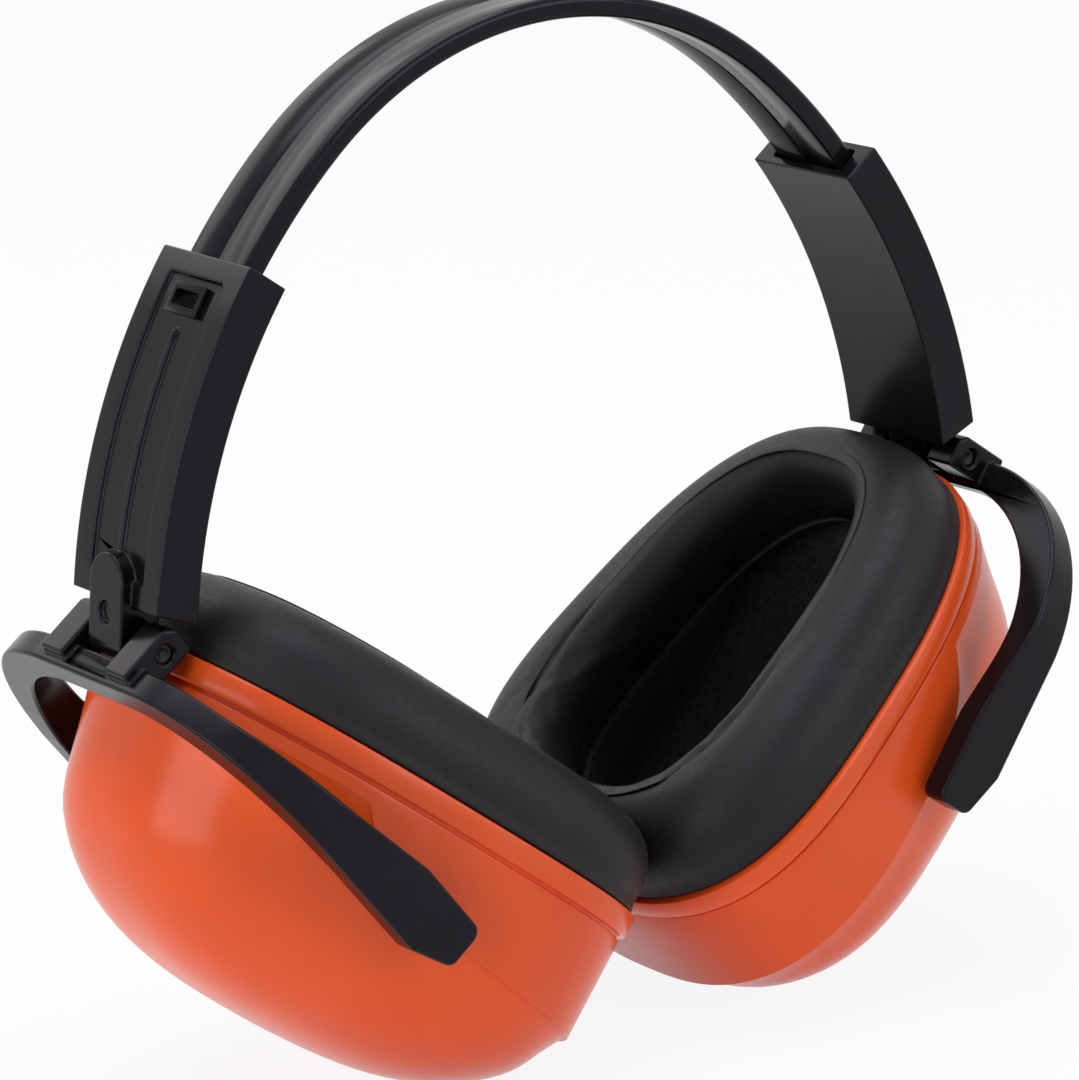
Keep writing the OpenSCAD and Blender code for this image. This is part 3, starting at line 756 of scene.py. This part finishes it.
def pressFlat(piece, side):
    place = cupPlace(side)
    sign = sideSigns[side]
    lean = math.radians(cup["lean"][side])
    limit = cushion["halfGap"] + sign * cushion["meetX"]
    for point in piece.data.vertices:
        reach = sign * (place @ point.co).x
        if reach < limit:
            point.co += (limit - reach) * Vector((math.cos(lean), 0, math.sin(lean)))


def buildCushion(side):
    lines = [smoothLine(cushionSection(column), cushion["rows"]) for column in range(cup["columns"])]
    rings = [[line[row] for line in lines] for row in range(cushion["rows"])]
    foot = rimRing(-cushion["plate"] - 0.00003, cushion["lipInner"])
    rings += [between(rings[-1], foot, share / 5) for share in range(1, 6)]
    rings += [rimRing(-cushion["lipDepth"], cushion["lipInner"])]
    rings += [rimRing(-cushion["lipDepth"], cushion["lipInset"])]
    piece = gridThroughRings(side + "EarCushion", cup["columns"], rings, loops=True)
    inflate(piece, -cushion["plate"] - 0.0006)
    pressFlat(piece, side)
    leanIntoPlace(piece, side)
    subdivision = piece.modifiers.new("finer", "SUBSURF")
    subdivision.levels = subdivision.render_levels = 1
    applyAll(piece)
    activate(piece)
    bpy.ops.object.shade_smooth()
    return piece


for side in sideSigns:
    pad = buildCushion(side)
    covered = [side + "_cushion_cover", side + "_cushion_foam"]
    finishPiece(pad, side + "_cup", materials["vinyl"], covered)
print("cushions made")

# studio: pale floor, soft panels and the camera
studio = dict(
    floorSize=12.0, floorColour=(0.9, 0.9, 0.9, 1), floorGlow=0.9, world=0.1, backdrop=0.97,
    panels=[
        ("overhead", (0.0, 0.1, 1.5), (1.3, 1.3), 17.0),
        ("leftPanel", (-1.7, -0.3, 0.5), (1.5, 1.3), 16.0),
        ("rightPanel", (0.9, -1.6, 0.7), (1.0, 1.0), 8.0),
        ("backPanel", (-0.2, 1.5, 1.1), (1.3, 0.6), 4.0)],
    aim=(0.0, 0.0, 0.08), lens=161.0, shiftX=-0.0443, shiftY=0.001, roll=-2.4,
    cameraPlace=(-0.4503, -0.6222, 0.29774), forward=(0.5713, 0.7751, -0.2698))


# 1 for the rays that see or mirror the background, 0 for those that only light the object
def seenRays(tree):
    path = tree.nodes.new("ShaderNodeLightPath")
    mirrored = mathNode(tree, "MAXIMUM", path.outputs["Is Glossy Ray"], path.outputs["Is Transmission Ray"])
    return mathNode(tree, "MAXIMUM", path.outputs["Is Camera Ray"], mirrored)


def buildFloor():
    deselectAll()
    bpy.ops.mesh.primitive_plane_add(size=studio["floorSize"], location=(0, 0, -0.0002))
    floor = bpy.context.object
    floor.name = "studioFloor"
    material = bpy.data.materials.new("floorWhite")
    material.use_nodes = True
    tree = material.node_tree
    shader = tree.nodes["Principled BSDF"]
    shader.inputs["Base Color"].default_value = studio["floorColour"]
    shader.inputs["Roughness"].default_value = 0.9
    white = addNode(tree, "ShaderNodeEmission", {"Color": (1, 1, 1, 1), "Strength": 1.0})
    glow = mathNode(tree, "MULTIPLY", seenRays(tree), studio["floorGlow"])
    mix = addNode(tree, "ShaderNodeMixShader", {0: glow})
    tree.links.new(shader.outputs[0], mix.inputs[1])
    tree.links.new(white.outputs[0], mix.inputs[2])
    tree.links.new(mix.outputs[0], tree.nodes["Material Output"].inputs["Surface"])
    giveMaterial(floor, material)


def buildLights():
    for name, place, size, power in studio["panels"]:
        lamp = bpy.data.lights.new(name, "AREA")
        lamp.shape = "RECTANGLE"
        lamp.size, lamp.size_y = size
        lamp.energy = power
        panel = bpy.data.objects.new(name, lamp)
        panel.location = place
        panel.rotation_euler = (Vector(studio["aim"]) - Vector(place)).to_track_quat("-Z", "Y").to_euler()
        panel.visible_camera = False
        bpy.context.scene.collection.objects.link(panel)
    world = bpy.data.worlds.new("studioWorld")
    world.use_nodes = True
    tree = world.node_tree
    background = tree.nodes["Background"]
    background.inputs["Color"].default_value = (1.0, 0.99, 1.0, 1)
    seen = mapRange(tree, seenRays(tree), 0.0, 1.0, studio["world"], studio["backdrop"])
    tree.links.new(seen, background.inputs["Strength"])
    bpy.context.scene.world = world


def buildCamera():
    data = bpy.data.cameras.new("studioCamera")
    data.lens = studio["lens"]
    data.sensor_width = 36
    data.shift_x = studio["shiftX"]
    data.shift_y = studio["shiftY"]
    camera = bpy.data.objects.new("studioCamera", data)
    forward = Vector(studio["forward"]).normalized()
    right = forward.cross(Vector((0, 0, 1))).normalized()
    up = right.cross(forward)
    roll = math.radians(studio["roll"])
    rolledRight = math.cos(roll) * right + math.sin(roll) * up
    rolledUp = math.cos(roll) * up - math.sin(roll) * right
    turn = Matrix((rolledRight, rolledUp, -forward)).transposed()
    camera.matrix_world = Matrix.Translation(studio["cameraPlace"]) @ turn.to_4x4()
    bpy.context.scene.collection.objects.link(camera)
    bpy.context.scene.camera = camera


buildFloor()
buildLights()
buildCamera()
bpy.context.scene.view_settings.view_transform = "Standard"
print("studio made")
